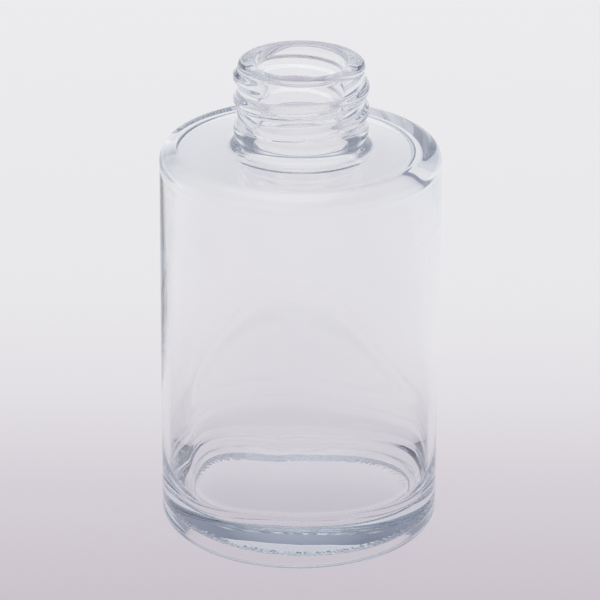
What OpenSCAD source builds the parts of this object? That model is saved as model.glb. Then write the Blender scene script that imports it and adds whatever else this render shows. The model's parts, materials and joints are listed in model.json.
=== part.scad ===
// Foundation bottle: a one-piece container of thick clear glass.
// A straight round body stands on a heavy base, and a short screw neck rises
// from a nearly flat shoulder. Millimetres, +Z up. The origin is the centre of
// the underside, on the surface that the bottle stands on.

/* [Body] */
// Outside diameter of the body
body_d = 37; // [32:0.5:44]
// Height of the rounded shoulder edge above the table
body_h = 53.4; // [44:0.2:70]
// Radius of the rounded heel, where the side meets the underside
heel_r = 1.9; // [1:0.1:3]
// Radius of the rounded edge between side and shoulder
shoulder_edge_r = 2; // [1:0.1:3]
// Slope of the shoulder, rising towards the neck, in degrees
shoulder_slope = 3.5; // [2:0.5:10]

/* [Hollow] */
// Thickness of the side wall
wall_t = 2; // [1.5:0.1:3.4]
// Thickness of the glass floor
floor_t = 4.9; // [4:0.1:9]
// Thickness of the shoulder
shoulder_t = 1.6; // [1.4:0.1:4]
// Radius in the corner between floor and side, inside
floor_corner_r = 2.4; // [1:0.1:5]
// Radius in the corner between side and shoulder, inside
shoulder_corner_r = 1.6; // [1:0.1:5]

/* [Underside] */
// Diameter of the round hollow under the base, at the table
recess_d = 27.8; // [24:0.2:30]
// Height of that hollow's flat ceiling above the table
recess_h = 1.65; // [1:0.05:2.4]
// How much narrower the hollow is at its ceiling than at the table
recess_taper = 0.8; // [0.2:0.1:1.6]
// Number of grip marks moulded into the ceiling, just inside the step
grip_marks = 72; // [24:4:80]
// Length of one grip mark, along the radius
grip_l = 1.1; // [0.6:0.1:1.6]
// Width of one grip mark
grip_w = 0.6; // [0.3:0.1:0.7]
// Depth of one grip mark
grip_deep = 0.15; // [0.1:0.05:0.25]
// Gap between the grip marks and the step
grip_gap = 0.1; // [0.1:0.1:1]

/* [Neck] */
// Height of the top of the lip above the table
total_h = 65.1; // [62:0.1:90]
// Outside diameter of the neck between the threads
neck_d = 16.6; // [16:0.1:18]
// Diameter of the bore
bore_d = 11.4; // [9:0.1:12]
// Radius of the lip's outer edge
lip_outer_r = 0.8; // [0.3:0.1:1]
// Radius of the lip's inner edge
lip_inner_r = 0.9; // [0.3:0.1:1.1]
// Radius where the neck runs out into the shoulder
neck_fillet_r = 0.9; // [0.5:0.1:2]
// Radius where the bore opens into the hollow
throat_r = 1.8; // [0.5:0.1:2.4]
// Diameter over the bead below the thread
bead_d = 17.6; // [17:0.1:19]
// Height of the bead along the neck
bead_w = 2.6; // [1.6:0.1:3]
// Height of the bead's middle above the shoulder edge
bead_up = 2.3; // [1.6:0.1:3]

/* [Thread] */
// Diameter over the thread
thread_d = 17.7; // [17:0.1:19]
// Rise of the right-hand thread in one turn
thread_pitch = 3; // [2.8:0.05:3.4]
// Turns of thread, run-outs included
thread_turns = 2.05; // [1:0.05:2.2]
// Width of the thread where it leaves the neck
thread_w = 2.3; // [1.6:0.1:2.5]
// Distance from the top of the lip down to the middle of the thread's upper end
thread_down = 1.6; // [1.5:0.1:2.5]
// Bearing of the thread's upper end, in degrees from +X towards +Y
thread_start = 240; // [0:1:359]
// Angle over which each end of the thread fades into the neck
thread_fade = 24; // [10:1:60]

/* [Hidden] */
$fn = 96;
eps = 0.02;
body_r = body_d / 2;
neck_r = neck_d / 2;
bore_r = bore_d / 2;
hollow_r = body_r - wall_t;
hollow_top = body_h - shoulder_t;
recess_r = recess_d / 2;
ceiling_r = recess_r - recess_taper / 2;
// Radius of the round groove that is grip_w wide and grip_deep deep
groove_r = (grip_w * grip_w / 4 + grip_deep * grip_deep) / (2 * grip_deep);
// The bead is the part of a circle that stands proud of the neck
bead_proud = (bead_d - neck_d) / 2;
bead_r = (bead_w * bead_w / 4 + bead_proud * bead_proud) / (2 * bead_proud);
bead_z = body_h + bead_up;
thread_proud = (thread_d - neck_d) / 2;
// How far the thread's foot, and the edges of its ridge, are sunk in the neck
thread_root = 0.6;
thread_sunk = 0.2;
thread_steps = ceil(thread_turns * 40);
thread_ridge_points = 8;

// Height at distance x from the axis of a shoulder that leaves an edge circle,
// with its centre at c and radius edge_r, at the shoulder's slope
function shoulder_z(x, c, edge_r) =
    c.y + edge_r * cos(shoulder_slope) + (c.x + edge_r * sin(shoulder_slope) - x) * tan(shoulder_slope);

// Half outline of a flask: a cylinder of radius r from z0 to z1 with rounded
// corners, a sloping shoulder, and a neck that flows out of it and ends at neck_z
module half_flask(r, z0, z1, low_r, edge_r, neck, neck_z, flow_r) {
    edge = [r - edge_r, z1 - edge_r];
    leave = edge + edge_r * [sin(shoulder_slope), cos(shoulder_slope)];
    flow = [neck + flow_r, shoulder_z(neck + flow_r, edge, edge_r) + flow_r / cos(shoulder_slope)];
    land = flow - flow_r * [sin(shoulder_slope), cos(shoulder_slope)];
    polygon([
        [0, z0], [r - low_r, z0], [r - low_r, z0 + low_r], [r, z0 + low_r], [r, edge.y],
        edge, leave, land, [neck, land.y], [neck, neck_z], [0, neck_z]
    ]);
    translate([r - low_r, z0 + low_r]) circle(r = low_r);
    translate(edge) circle(r = edge_r);
    difference() {
        polygon([[neck - flow_r, land.y - flow_r], [neck - flow_r, flow.y], flow, land]);
        translate(flow) circle(r = flow_r);
    }
}

// What a rounding of radius r takes off a square corner at p; side is 1 where
// the glass lies towards the axis, and -1 where it lies away from the axis
module top_rounding(p, r, side) {
    difference() {
        translate(p - [side > 0 ? r : eps, r])
            square([r + eps, r + eps]);
        translate(p - [side * r, r]) circle(r = r);
    }
}

module outside_outline() {
    difference() {
        union() {
            half_flask(body_r, 0, body_h, heel_r, shoulder_edge_r, neck_r, total_h, neck_fillet_r);
            translate([neck_r + bead_proud - bead_r, bead_z]) circle(r = bead_r);
        }
        top_rounding([neck_r, total_h], lip_outer_r, 1);
    }
}

module hollow_outline() {
    half_flask(hollow_r, floor_t, hollow_top, floor_corner_r, shoulder_corner_r, bore_r,
        total_h + 1, throat_r);
    top_rounding([bore_r, total_h], lip_inner_r, -1);
}

// The stepped hollow under the base; it leans on below the table by its own slope
module recess_outline() {
    lean = recess_taper / 2 / recess_h;
    polygon([[0, -1], [recess_r + lean, -1], [ceiling_r, recess_h], [0, recess_h]]);
}

// Height of the thread over the neck at share s of its width, from 0 to 1, and
// at share f of its full height. Its edges lie inside the neck's wall.
function ridge(s, f) = f * (thread_proud + thread_sunk) * sqrt(1 - pow(2 * s - 1, 2)) - thread_sunk;

// How much of its height the thread has at turn angle a from its lower end
function fade(a) = let(rest = thread_turns * 360 - a) min(1, min(a, rest) / thread_fade);

// One cross-section of the thread, at turn angle a from its lower end
function thread_section(a) =
    let(
        bearing = thread_start - thread_turns * 360 + a,
        middle = total_h - thread_down - (thread_turns - a / 360) * thread_pitch,
        n = thread_ridge_points,
        foot = neck_r - thread_root,
        profile = concat(
            [[foot, -thread_w / 2]],
            [for (j = [0 : n]) [neck_r + ridge(j / n, fade(a)), (j / n - 0.5) * thread_w]],
            [[foot, thread_w / 2]]
        )
    )
    [for (p = profile) [p.x * cos(bearing), p.x * sin(bearing), middle + p.y]];

module thread() {
    m = thread_ridge_points + 3;
    last = thread_steps * m;
    points = [for (i = [0 : thread_steps]) each thread_section(i / thread_steps * thread_turns * 360)];
    sides = [
        for (i = [0 : thread_steps - 1], j = [0 : m - 1])
            let(a = i * m + j, b = i * m + (j + 1) % m)
                each [[a, b, b + m], [a, b + m, a + m]]
    ];
    ends = [[for (j = [m - 1 : -1 : 0]) j], [for (j = [0 : m - 1]) last + j]];
    polyhedron(points, concat(sides, ends), convexity = 6);
}

// Short shallow grooves, laid like spokes in the ceiling of the hollow
module grip_grooves() {
    for (i = [0 : grip_marks - 1])
        rotate([0, 0, i * 360 / grip_marks])
            translate([ceiling_r - grip_gap - grip_l, 0, recess_h + grip_deep - groove_r])
                rotate([0, 90, 0]) cylinder(r = groove_r, h = grip_l, $fn = 24);
}

module glass_bottle() {
    color([0.93, 0.94, 0.96, 0.35])
        difference() {
            union() {
                rotate_extrude() outside_outline();
                thread();
            }
            rotate_extrude() hollow_outline();
            rotate_extrude() recess_outline();
            grip_grooves();
        }
}

glass_bottle();
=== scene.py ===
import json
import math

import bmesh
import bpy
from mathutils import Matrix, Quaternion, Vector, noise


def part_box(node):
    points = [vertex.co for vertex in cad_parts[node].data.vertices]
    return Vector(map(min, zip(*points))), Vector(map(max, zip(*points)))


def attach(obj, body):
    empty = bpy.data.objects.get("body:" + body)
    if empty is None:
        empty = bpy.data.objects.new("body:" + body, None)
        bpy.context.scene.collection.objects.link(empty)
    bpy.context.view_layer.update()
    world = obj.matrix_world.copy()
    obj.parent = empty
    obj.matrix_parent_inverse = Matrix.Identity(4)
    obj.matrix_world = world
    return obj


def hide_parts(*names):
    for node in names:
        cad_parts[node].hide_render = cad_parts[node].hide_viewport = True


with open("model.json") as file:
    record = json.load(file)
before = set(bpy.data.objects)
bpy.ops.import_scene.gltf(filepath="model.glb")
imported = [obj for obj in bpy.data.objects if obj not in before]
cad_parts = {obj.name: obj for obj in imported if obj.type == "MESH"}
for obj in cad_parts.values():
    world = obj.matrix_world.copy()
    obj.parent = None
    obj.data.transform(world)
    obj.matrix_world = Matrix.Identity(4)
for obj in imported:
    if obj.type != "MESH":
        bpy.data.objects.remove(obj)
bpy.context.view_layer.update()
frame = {"record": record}

# The look of the foundation bottle: one piece of thick clear glass, standing on
# a softly lit table. The glass is one closed mesh, a turned profile on which the
# screw thread, the rough ring underneath and the small unevenness of moulded
# glass are worked in as relief. Lengths are in metres unless a name says otherwise.

MM = 0.001
TINY = 0.001 * MM


def mount(name):
    """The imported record's mount of that name."""
    return next(m for m in frame["record"]["mounts"] if m["name"] == name)


# ---------------------------------------------------------------- dimensions

LOW, HIGH = (Vector(corner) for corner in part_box("glass_bottle"))
BODY_R = min(HIGH.x, -LOW.x)
TOTAL_H = HIGH.z
BODY_H = TOTAL_H - 11.7 * MM          # height of the rounded shoulder edge
HEEL_R = 1.9 * MM
EDGE_R = 2.0 * MM
SLOPE = math.radians(3.5)

WALL_T = 1.5 * MM
FLOOR_T = 3.6 * MM
SHOULDER_T = 1.15 * MM
FRONT_CORNER = (9.0 * MM, 4.5 * MM)    # width and height of the floor's round corner
BACK_CORNER = (4.0 * MM, 9.0 * MM)
FRONT_TO_BACK_DEG = (50, 110)          # over these bearings it goes from one to the other
SHOULDER_CORNER_R = 2.2 * MM

RECESS_LOW_R = 13.9 * MM               # the step round the hollow underneath
RECESS_HIGH_R = 13.5 * MM
RECESS_H = 1.1 * MM
RECESS_DOME = 0.1 * MM
RECESS_TILT = -0.02                    # its left side is the higher one
STIPPLE_IN_R = 12.3 * MM               # the rough ring just inside the step
STIPPLE_DEEP = 0.05 * MM
STIPPLE_SPOT = 0.25 * MM

# Moulded glass is uneven. Near the floor the wall is thick in front and thin
# elsewhere. Near the shoulder the cavity is round and lies off centre.
FRONT_WALL_T = 3.8 * MM
SIDE_WALL_T = 1.05 * MM
THICK_LEFT_DEG = (-53, -10)            # over these bearings the wall thickens
THICK_RIGHT_DEG = (5, 69)              # and over these it thins out again
LOW_BELOW = 18 * MM                    # below this height the wall is as it is near the floor
HIGH_ABOVE = 50 * MM                   # and above this one as it is near the shoulder
HIGH_WALL_T = 1.75 * MM
HIGH_OFF_X = -0.95 * MM                # the cavity's centre near the shoulder
HIGH_OFF_Y = -0.35 * MM

# A shallow wave in the glass inside the shoulder, in front of the neck
WAVE_R = 9.6 * MM
WAVE_HALF = 0.6 * MM
WAVE_DEEP = 0.13 * MM
WAVE_DEG = (38, 62)                    # from the front it fades out over these bearings

BORE_R = mount("neck_bore")["dims"]["r_mm"] * MM
NECK_R = 8.3 * MM
THREAD_R = 8.85 * MM
LIP_OUTER_R = 0.8 * MM
LIP_INNER_R = 0.9 * MM
NECK_FILLET_R = 1.6 * MM
THROAT_R = 3.2 * MM
BEAD_R = 8.8 * MM
BEAD_HALF = 1.3 * MM
BEAD_Z = BODY_H + 2.3 * MM

PITCH = 3.0 * MM
TURNS = 2.05
THREAD_HALF = 1.15 * MM
THREAD_TOP_Z = TOTAL_H - 1.6 * MM
THREAD_START = math.radians(240)
THREAD_FADE = math.radians(24)

GLASS_IOR = 1.52
GLASS_TINT = (0.40, 0.58, 0.72)        # the glass takes up red light most and blue light least
GLASS_DENSITY = 9.0                    # per metre of path
GLASS_ROUGHNESS = (0.0, 0.012)         # fire polished, with slightly duller patches
PATCH_SIZE = 8 * MM
PATCH_SPAN = (0.45, 0.8)               # the noise between which the glass gets duller
FILM_STOPS = [(0.3, (1.0, 1.0, 1.0)), (0.8, (0.985, 0.985, 0.99))]
GLASS_WAVE = 3.0 * MM                  # the faint waves of moulded glass: length and depth
GLASS_WAVE_DEEP = 0.004 * MM

CAMERA_ELEVATION = math.radians(23.5)
CAMERA_ROLL = math.radians(0.35)
CAMERA_DISTANCE = 0.505
CAMERA_TARGET_Z = 31.3 * MM
CAMERA_SENSOR_MM = 36.0
CAMERA_LENS_MM = 228.18

TABLE_HALF = 6.0
TABLE_DROP = 0.02 * MM                 # keeps the table clear of the glass that stands on it
# The table's glow is painted light: it falls off from the back towards the viewer, as light in the
# studio would.
TABLE_NEAR = -0.04                     # its light goes through these stops from here
TABLE_FAR = 0.20                       # to here, from front to back
TABLE_GLOW_STOPS = [(0.0, (0.55, 0.50, 0.56)), (0.2, (0.66, 0.62, 0.67)), (0.32, (0.75, 0.73, 0.76)),
               (0.47, (0.80, 0.79, 0.81)), (1.0, (0.82, 0.82, 0.84))]
# The light around, by the height of its direction: behind the bottle, at its
# sides and on the viewer's side
BACK_STOPS = [(0.0, (0.98, 0.98, 1.0)), (0.25, (0.80, 0.81, 0.84)), (0.45, (0.52, 0.55, 0.63)),
              (0.65, (0.30, 0.33, 0.40)), (0.85, (0.45, 0.47, 0.52)), (1.0, (0.90, 0.90, 0.92))]
SIDE_STOPS = [(0.0, (0.30, 0.32, 0.42)), (0.12, (0.34, 0.36, 0.44)), (0.26, (0.32, 0.34, 0.41)),
              (0.5, (0.24, 0.26, 0.33)), (0.8, (0.36, 0.38, 0.44)), (1.0, (0.90, 0.90, 0.92))]
FRONT_STOPS = [(0.0, (0.74, 0.74, 0.77)), (0.1, (0.40, 0.42, 0.46)), (0.2, (0.08, 0.09, 0.11)),
               (0.5, (0.03, 0.03, 0.04)), (0.75, (0.10, 0.11, 0.13)), (0.88, (0.70, 0.70, 0.73)),
               (1.0, (0.90, 0.90, 0.92))]
SIDE_FROM = 0.82                       # from sides to back over these depths of the direction
SIDE_TO = 0.97
FRONT_FROM = -0.35                     # and from the viewer's side to the sides over these
FRONT_TO = 0.25

CLOSE_GAP = 0.08 * MM                  # from a line's end to the support point beside it
AROUND = 288                          # vertices in each ring of the mesh
FINE_AROUND = 576                     # and in the rings of the stippled band


# ------------------------------------------------------------------- profile

def arc(centre, radius, start_deg, end_deg, count):
    """Points along an arc, both ends included."""
    turn = [math.radians(start_deg + (end_deg - start_deg) * i / count) for i in range(count + 1)]
    return [(centre[0] + radius * math.cos(t), centre[1] + radius * math.sin(t)) for t in turn]


def line(start, end, count):
    """Points along a line, both ends included. One more lies close to each end,
    so that smooth shading does not bend the straight part near a corner."""
    shares = [i / count for i in range(count + 1)]
    close = CLOSE_GAP / math.dist(start, end)
    if close < 0.5 / count:
        shares = [0.0, close] + shares[1:-1] + [1.0 - close, 1.0]
    return [tuple(s + (e - s) * share for s, e in zip(start, end)) for share in shares]


def flask(radius, z_low, z_edge, low_r, low_h, edge_r, neck_r, neck_z, flow_r, rows):
    """The profile of a round flask from its floor's corner to its neck's top:
    a low corner, a side, a shoulder edge, a sloping shoulder and a neck that
    flows out of it."""
    slope_deg = math.degrees(SLOPE)
    edge = (radius - edge_r, z_edge - edge_r)
    leave = (edge[0] + edge_r * math.sin(SLOPE), edge[1] + edge_r * math.cos(SLOPE))
    flow_x = neck_r + flow_r
    flow = (flow_x, leave[1] + (leave[0] - flow_x) * math.tan(SLOPE) + flow_r / math.cos(SLOPE))
    corner = arc((radius - low_r, 0.0), low_r, -90, 0, rows["corner"])
    corner = [(r, z_low + low_h + h * low_h / low_r) for r, h in corner]
    shoulder_edge = arc(edge, edge_r, 0, 90 - slope_deg, rows["edge"])
    neck_root = arc(flow, flow_r, 270 - slope_deg, 180, rows["flow"])
    return (corner
            + line(corner[-1], shoulder_edge[0], rows["side"])[1:-1]
            + shoulder_edge
            + line(shoulder_edge[-1], neck_root[0], rows["shoulder"])[1:-1]
            + neck_root
            + line(neck_root[-1], (neck_r, neck_z), rows["neck"])[1:])


def ceiling_z(radius):
    """Height of the recess's nearly flat ceiling."""
    return RECESS_H + RECESS_DOME * (1 - (radius / RECESS_HIGH_R) ** 2)


def recess():
    """The profile of the hollow under the base, from the axis to the bearing ring."""
    middle = [STIPPLE_IN_R * i / 12 for i in range(1, 12)]
    stipple = [STIPPLE_IN_R + (RECESS_HIGH_R - STIPPLE_IN_R) * i / 8 for i in range(9)]
    ceiling = [(r, ceiling_z(r)) for r in middle + stipple]
    return ceiling + line((RECESS_HIGH_R, RECESS_H), (RECESS_LOW_R, 0.0), 6)[1:]


def profile(corner_r, corner_h):
    """The whole closed profile, from the underside's centre, up the outside,
    over the lip and down the inside to the floor's centre. The two points on
    the axis are left out. The floor's corner inside is corner_r wide and corner_h high."""
    outside = flask(BODY_R, 0.0, BODY_H, HEEL_R, HEEL_R,
                    EDGE_R, NECK_R, TOTAL_H - LIP_OUTER_R, NECK_FILLET_R,
                    {"corner": 14, "edge": 16, "side": 22, "shoulder": 12, "flow": 8, "neck": 72})
    inside = flask(BODY_R - WALL_T, FLOOR_T, BODY_H - SHOULDER_T, corner_r, corner_h,
                   SHOULDER_CORNER_R, BORE_R, TOTAL_H - LIP_INNER_R, THROAT_R,
                   {"corner": 12, "edge": 14, "side": 26, "shoulder": 32, "flow": 14, "neck": 12})
    ring = line((RECESS_LOW_R, 0.0), (BODY_R - HEEL_R, 0.0), 6)[1:-1]
    lip = (arc((NECK_R - LIP_OUTER_R, TOTAL_H - LIP_OUTER_R), LIP_OUTER_R, 0, 90, 10)[1:]
           + arc((BORE_R + LIP_INNER_R, TOTAL_H - LIP_INNER_R), LIP_INNER_R, 90, 180, 10)[:-1])
    floor = line((BODY_R - WALL_T - corner_r, FLOOR_T), (0.0, FLOOR_T), 16)[1:-1]
    outer = recess() + ring + outside + lip
    return outer + inside[::-1] + floor, len(outer)


# -------------------------------------------------------------------- relief

def bump(s):
    """A round ridge: 1 at s = 0, 0 from s = 1 on, with hollow feet."""
    return 0.5 + 0.5 * math.cos(math.pi * min(1.0, abs(s)))


def crest(s, flat):
    """A ridge with a round crest that is flat share of its width."""
    return bump(max(0.0, abs(s) - flat) / (1.0 - flat))


def thread_height(angle, z):
    """How far the screw thread stands out of the neck there."""
    best = 0.0
    back = (THREAD_START - angle) % (2 * math.pi)
    while back < TURNS * 2 * math.pi:
        middle = THREAD_TOP_Z - back / (2 * math.pi) * PITCH
        s = (z - middle) / THREAD_HALF
        if abs(s) < 1:
            fade = min(1.0, back / THREAD_FADE, (TURNS * 2 * math.pi - back) / THREAD_FADE)
            best = max(best, fade * (THREAD_R - NECK_R) * crest(s, 0.18))
        back += 2 * math.pi
    return best


def bead_height(z):
    """How far the bead under the thread stands out of the neck there."""
    return (BEAD_R - NECK_R) * crest((z - BEAD_Z) / BEAD_HALF, 0.15)


def smooth(low, high, value):
    """0 below low, 1 above high and a soft step between them."""
    t = min(1.0, max(0.0, (value - low) / (high - low)))
    return t * t * (3 - 2 * t)


def bearing_deg(angle):
    """Bearing of an angle round the axis: 0 in front and 90 at the right."""
    return math.degrees(math.remainder(angle + math.pi / 2, 2 * math.pi))


def wall_extra(angle, z):
    """How much thicker than WALL_T the body's wall is there."""
    bearing = bearing_deg(angle)
    in_front = smooth(*THICK_LEFT_DEG, bearing) * (1 - smooth(*THICK_RIGHT_DEG, bearing))
    low = SIDE_WALL_T + (FRONT_WALL_T - SIDE_WALL_T) * in_front
    high = HIGH_WALL_T - HIGH_OFF_X * math.cos(angle) - HIGH_OFF_Y * math.sin(angle)
    share = smooth(LOW_BELOW, HIGH_ABOVE, z)
    return low * (1 - share) + high * share - WALL_T


def cavity_shift(radius, angle, z):
    """Change of radius inside the cavity, none in the neck or on the axis."""
    start = BORE_R + THROAT_R if z > BODY_H / 2 else 0.0
    return -wall_extra(angle, z) * smooth(start, BODY_R - WALL_T, radius)


def shoulder_wave(radius, angle):
    """How far the wave inside the shoulder stands into the cavity."""
    share = 1 - smooth(*WAVE_DEG, abs(bearing_deg(angle)))
    return WAVE_DEEP * share * bump((radius - WAVE_R) / WAVE_HALF)


def on_stipple(radius, z):
    """Whether a point of the outside lies in the rough ring of the recess's ceiling."""
    return STIPPLE_IN_R < radius < RECESS_HIGH_R and 0.9 * RECESS_H < z < 1.2 * RECESS_H


def stipple(radius, angle):
    """Depth of the rough ring moulded into the recess's ceiling."""
    place = Vector((radius * math.cos(angle), radius * math.sin(angle), 0.0))
    spot = noise.noise(place / STIPPLE_SPOT)
    middle = (STIPPLE_IN_R + RECESS_HIGH_R) / 2
    edge = 0.25 + 0.75 * smooth(0.5, 0.8, abs(radius - middle) / (RECESS_HIGH_R - middle))
    return STIPPLE_DEEP * edge * max(-1.0, min(1.0, 2.2 * spot))


def join(bm, low, high):
    """Faces between two rings of vertices, which may be twice as fine on one side."""
    count = min(len(low), len(high))
    for i in range(count):
        j = (i + 1) % count
        if len(low) == len(high):
            bm.faces.new((low[i], low[j], high[j], high[i]))
            continue
        coarse, fine = (low, high) if len(low) < len(high) else (high, low)
        between = fine[2 * i + 1]
        bm.faces.new((coarse[i], fine[2 * i], between))
        bm.faces.new((coarse[i], between, coarse[j]))
        bm.faces.new((coarse[j], between, fine[2 * j]))


def bottle_mesh():
    """The closed mesh of the glass: the profile turned round the axis, with its relief."""
    front_points, outer_count = profile(*FRONT_CORNER)
    back_points, outer_count = profile(*BACK_CORNER)
    bm = bmesh.new()
    rings = []
    for row, ((radius, z), (back_radius, back_z)) in enumerate(zip(front_points, back_points)):
        outer = row < outer_count
        on_neck = outer and z > BODY_H and radius > NECK_R - TINY
        in_recess = outer and z <= RECESS_H + RECESS_DOME and radius < RECESS_LOW_R - TINY
        in_stipple = outer and on_stipple(radius, z)
        count = FINE_AROUND if in_stipple else AROUND
        ring = []
        for i in range(count):
            angle = 2 * math.pi * i / count
            share = smooth(*FRONT_TO_BACK_DEG, abs(bearing_deg(angle)))
            r = radius + (back_radius - radius) * share
            h = z + (back_z - z) * share
            if on_neck:
                r += max(thread_height(angle, z), bead_height(z))
            if in_stipple:
                h += stipple(radius, angle)
            if in_recess:
                h += RECESS_TILT * radius * math.cos(angle) * z / RECESS_H
            if not outer:
                r += cavity_shift(r, angle, h)
                if h > BODY_H / 2:
                    h -= shoulder_wave(r, angle)
            ring.append(bm.verts.new((r * math.cos(angle), r * math.sin(angle), h)))
        rings.append(ring)
    under = bm.verts.new((0, 0, RECESS_H + RECESS_DOME))
    floor = bm.verts.new((0, 0, FLOOR_T))
    for low, high in zip(rings, rings[1:]):
        join(bm, low, high)
    for i in range(AROUND):
        j = (i + 1) % AROUND
        bm.faces.new((under, rings[0][j], rings[0][i]))
        bm.faces.new((floor, rings[-1][i], rings[-1][j]))
    bmesh.ops.recalc_face_normals(bm, faces=bm.faces)
    for face in bm.faces:
        face.smooth = True
    mesh = bpy.data.meshes.new("bottle_glass")
    bm.to_mesh(mesh)
    bm.free()
    return mesh


# ----------------------------------------------------------------- materials

def link(tree, source, target):
    tree.links.new(source, target)


def ramp(tree, value, stops):
    """The colour that a value has on a ramp with those (place, colour) stops."""
    node = tree.nodes.new("ShaderNodeValToRGB")
    while len(node.color_ramp.elements) < len(stops):
        node.color_ramp.elements.new(0.5)
    for element, (place, colour) in zip(node.color_ramp.elements, stops):
        element.position = place
        element.color = (*colour, 1)
    link(tree, value, node.inputs["Fac"])
    return node.outputs["Color"]


def span(tree, value, start, end, new_start=0.0, new_end=1.0):
    """Maps start..end of a value to new_start..new_end."""
    node = tree.nodes.new("ShaderNodeMapRange")
    node.inputs["From Min"].default_value = start
    node.inputs["From Max"].default_value = end
    node.inputs["To Min"].default_value = new_start
    node.inputs["To Max"].default_value = new_end
    link(tree, value, node.inputs["Value"])
    return node.outputs["Result"]


def blend(tree, share, first, second):
    """The first colour at share 0 and the second at share 1."""
    node = tree.nodes.new("ShaderNodeMix")
    node.data_type = "RGBA"
    link(tree, share, node.inputs["Factor"])
    link(tree, first, node.inputs["A"])
    link(tree, second, node.inputs["B"])
    return node.outputs["Result"]


def soft_noise(tree, place, size, detail):
    """Soft noise with spots of that size."""
    node = tree.nodes.new("ShaderNodeTexNoise")
    node.inputs["Scale"].default_value = 1 / size
    node.inputs["Detail"].default_value = detail
    link(tree, place, node.inputs["Vector"])
    return node.outputs["Fac"]


def glass_material():
    """Clear glass with duller patches, a faint film, shallow waves and a tint by depth."""
    material = bpy.data.materials.new("clear_glass")
    material.use_nodes = True
    tree = material.node_tree
    shader = tree.nodes["Principled BSDF"]
    shader.inputs["Transmission Weight"].default_value = 1.0
    shader.inputs["IOR"].default_value = GLASS_IOR
    place = tree.nodes.new("ShaderNodeTexCoord").outputs["Object"]
    patches = soft_noise(tree, place, PATCH_SIZE, 3.0)
    link(tree, span(tree, patches, *PATCH_SPAN, *GLASS_ROUGHNESS), shader.inputs["Roughness"])
    link(tree, ramp(tree, patches, FILM_STOPS), shader.inputs["Base Color"])
    waves = tree.nodes.new("ShaderNodeBump")
    waves.inputs["Strength"].default_value = 1.0
    waves.inputs["Distance"].default_value = GLASS_WAVE_DEEP
    link(tree, soft_noise(tree, place, GLASS_WAVE, 1.0), waves.inputs["Height"])
    link(tree, waves.outputs["Normal"], shader.inputs["Normal"])
    depth = tree.nodes.new("ShaderNodeVolumeAbsorption")
    depth.inputs["Color"].default_value = (*GLASS_TINT, 1)
    depth.inputs["Density"].default_value = GLASS_DENSITY
    link(tree, depth.outputs["Volume"], tree.nodes["Material Output"].inputs["Volume"])
    return material


def make_bottle():
    """The glass, on the part's only body and in its node's place."""
    bottle = bpy.data.objects.new("bottle_glass", bottle_mesh())
    bpy.context.scene.collection.objects.link(bottle)
    bottle.data.materials.append(glass_material())
    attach(bottle, "root")
    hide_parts("glass_bottle")


# -------------------------------------------------------------------- studio

def make_table():
    """A pale table that glows softly, brighter towards the back. Its glow and that fall-off are
    painted light.
    """
    mesh = bpy.data.meshes.new("table")
    half = TABLE_HALF
    corners = [(-half, -half, 0), (half, -half, 0), (half, half, 0), (-half, half, 0)]
    mesh.from_pydata(corners, [], [(0, 1, 2, 3)])
    table = bpy.data.objects.new("table", mesh)
    table.location.z = -TABLE_DROP
    bpy.context.scene.collection.objects.link(table)
    material = bpy.data.materials.new("table")
    material.use_nodes = True
    tree = material.node_tree
    shader = tree.nodes["Principled BSDF"]
    place = tree.nodes.new("ShaderNodeNewGeometry")
    split = tree.nodes.new("ShaderNodeSeparateXYZ")
    link(tree, place.outputs["Position"], split.inputs[0])
    depth = span(tree, split.outputs["Y"], TABLE_NEAR, TABLE_FAR)
    # Painted light: the table glows, brighter at the back and dimmer in front.
    link(tree, ramp(tree, depth, TABLE_GLOW_STOPS), shader.inputs["Emission Color"])
    shader.inputs["Emission Strength"].default_value = 1.0
    shader.inputs["Base Color"].default_value = (0.03, 0.03, 0.03, 1)
    shader.inputs["Roughness"].default_value = 0.7
    shader.inputs["Specular IOR Level"].default_value = 0.0
    mesh.materials.append(material)


def make_camera():
    """A camera in front of the bottle and above it, turned towards its middle."""
    target = Vector((0.0, 0.0, CAMERA_TARGET_Z))
    back = Vector((0.0, -math.cos(CAMERA_ELEVATION), math.sin(CAMERA_ELEVATION)))
    data = bpy.data.cameras.new("camera")
    data.sensor_width = CAMERA_SENSOR_MM
    data.lens = CAMERA_LENS_MM
    camera = bpy.data.objects.new("camera", data)
    camera.rotation_mode = "QUATERNION"
    camera.location = target + back * CAMERA_DISTANCE
    camera.rotation_quaternion = back.to_track_quat("Z", "Y") @ Quaternion((0, 0, 1), CAMERA_ROLL)
    bpy.context.scene.collection.objects.link(camera)
    bpy.context.scene.camera = camera


def make_world():
    """Soft light from all around, which depends on the direction's height and depth."""
    world = bpy.data.worlds.new("studio")
    bpy.context.scene.world = world
    world.use_nodes = True
    tree = world.node_tree
    background = tree.nodes["Background"]
    direction = tree.nodes.new("ShaderNodeTexCoord")
    split = tree.nodes.new("ShaderNodeSeparateXYZ")
    link(tree, direction.outputs["Generated"], split.inputs[0])
    height = split.outputs["Z"]
    depth = split.outputs["Y"]
    front, side, back = (ramp(tree, height, stops) for stops in (FRONT_STOPS, SIDE_STOPS, BACK_STOPS))
    near = blend(tree, span(tree, depth, FRONT_FROM, FRONT_TO), front, side)
    light = blend(tree, span(tree, depth, SIDE_FROM, SIDE_TO), near, back)
    link(tree, light, background.inputs["Color"])
    background.inputs["Strength"].default_value = 1.0


make_camera()
make_world()
make_table()
make_bottle()
bpy.context.scene.view_settings.view_transform = "Standard"
# Thick glass guides light through many reflections before it comes out
bpy.context.scene.cycles.max_bounces = 64
bpy.context.scene.cycles.transmission_bounces = 64
bpy.context.scene.cycles.glossy_bounces = 64
